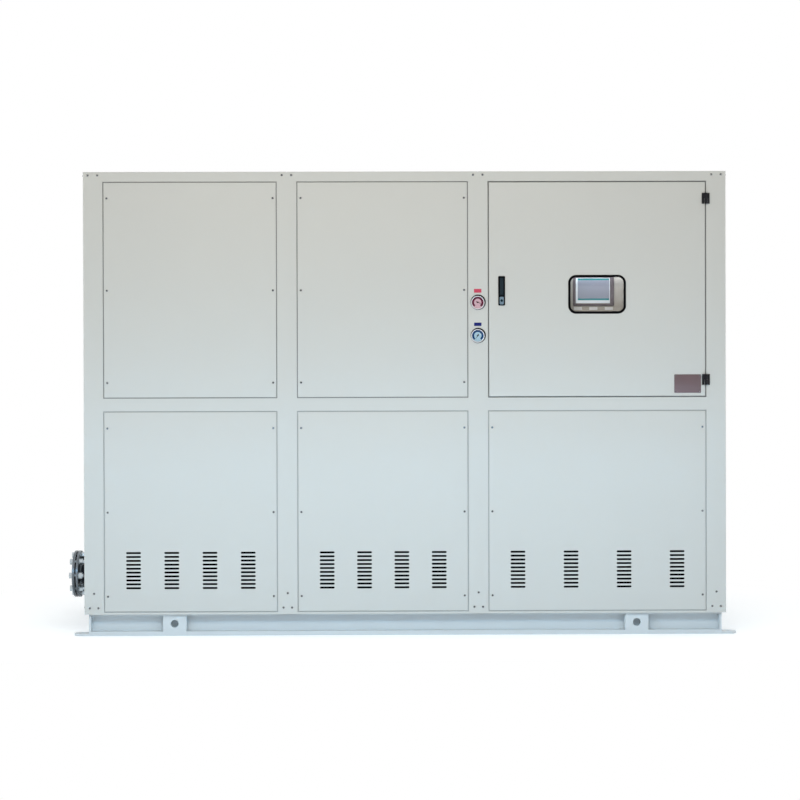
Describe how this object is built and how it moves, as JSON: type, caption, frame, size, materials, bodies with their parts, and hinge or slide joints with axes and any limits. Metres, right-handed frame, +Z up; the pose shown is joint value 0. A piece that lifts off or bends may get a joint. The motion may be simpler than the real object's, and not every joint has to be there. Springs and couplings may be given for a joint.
{
  "type": "packaged water chiller",
  "caption": "Closed sheet-steel water chiller cabinet on a channel base, with louvred lower panels, a hinged control door with a window, gauges and flanged water connections.",
  "frame": {"origin": "on the floor, under the middle of the front foot flat", "axes": "+X to the right along the front, +Y from the front to the back, +Z up"},
  "size_m": [2.798, 1.1635, 1.9],
  "materials": {
    "cabinet_paint": "light grey orange-peel paint, semi-gloss",
    "base_paint": "light grey paint, satin",
    "inner_paint": "beige grey paint, satin",
    "black_rubber": "matt moulded rubber",
    "window_glass": "clear and smooth",
    "hinge_black": "black powder coat",
    "latch_black": "fine moulded grain",
    "lever_grey": "dark grey powder coat",
    "button_metal": "satin plated",
    "screen_plastic": "fine moulded grain",
    "gauge_chrome": "polished bezel, printed dial",
    "flange_steel": "dull machined steel"
  },
  "bodies": {
    "cabinet": {"base_cross_members": "base_paint", "base_end_plates": "base_paint", "companion_flanges": "flange_steel", "end_middle_rails": "cabinet_paint", "end_top_rails": "cabinet_paint", "floor_pan": "cabinet_paint", "front_foot_rail": "base_paint", "front_left_corner_post": "cabinet_paint", "front_lower_panel_1": "cabinet_paint", "front_lower_panel_2": "cabinet_paint", "front_lower_panel_3": "cabinet_paint", "front_middle_rails": "cabinet_paint", "front_post_2": "cabinet_paint", "front_post_3": "cabinet_paint", "front_right_corner_post": "cabinet_paint", "front_top_rails": "cabinet_paint", "front_upper_panel_1": "cabinet_paint", "front_upper_panel_2": "cabinet_paint", "hinge_post_leaves": "hinge_black", "inner_cover": "inner_paint", "left_lower_panel": "cabinet_paint", "left_upper_panel": "cabinet_paint", "pressure_gauges": "gauge_chrome", "rear_foot_rail": "base_paint", "rear_left_corner_post": "cabinet_paint", "rear_lower_panels": "cabinet_paint", "rear_middle_posts": "cabinet_paint", "rear_middle_rails": "cabinet_paint", "rear_right_corner_post": "cabinet_paint", "rear_top_rails": "cabinet_paint", "rear_upper_panels": "cabinet_paint", "right_lower_panel": "cabinet_paint", "right_upper_panel": "cabinet_paint", "roof_panels": "cabinet_paint", "touch_screen": "screen_plastic", "water_pipes": "flange_steel"},
    "door": {"door": "cabinet_paint", "window_seal": "black_rubber", "window_pane": "window_glass", "hinge_door_leaves": "hinge_black", "latch_housing": "latch_black"},
    "lever": {"latch_lever": "lever_grey"},
    "button": {"latch_button": "button_metal"}
  },
  "joints": [
    {"name": "door_hinge", "type": "hinge", "parent": "cabinet", "child": "door", "pos_m": [1.2325, -0.054, 1.417], "axis": [0, 0, 1], "range_deg": [0, 110]},
    {"name": "lever_pop_out", "type": "hinge", "parent": "door", "child": "lever", "pos_m": [0.396, -0.0435, 1.461], "axis": [-1, 0, 0], "range_deg": [0, 35]},
    {"name": "button_press", "type": "slide", "parent": "door", "child": "button", "axis": [0, 1, 0], "range_m": [0, 0.004], "stiffness_N_per_m": 600}
  ]
}
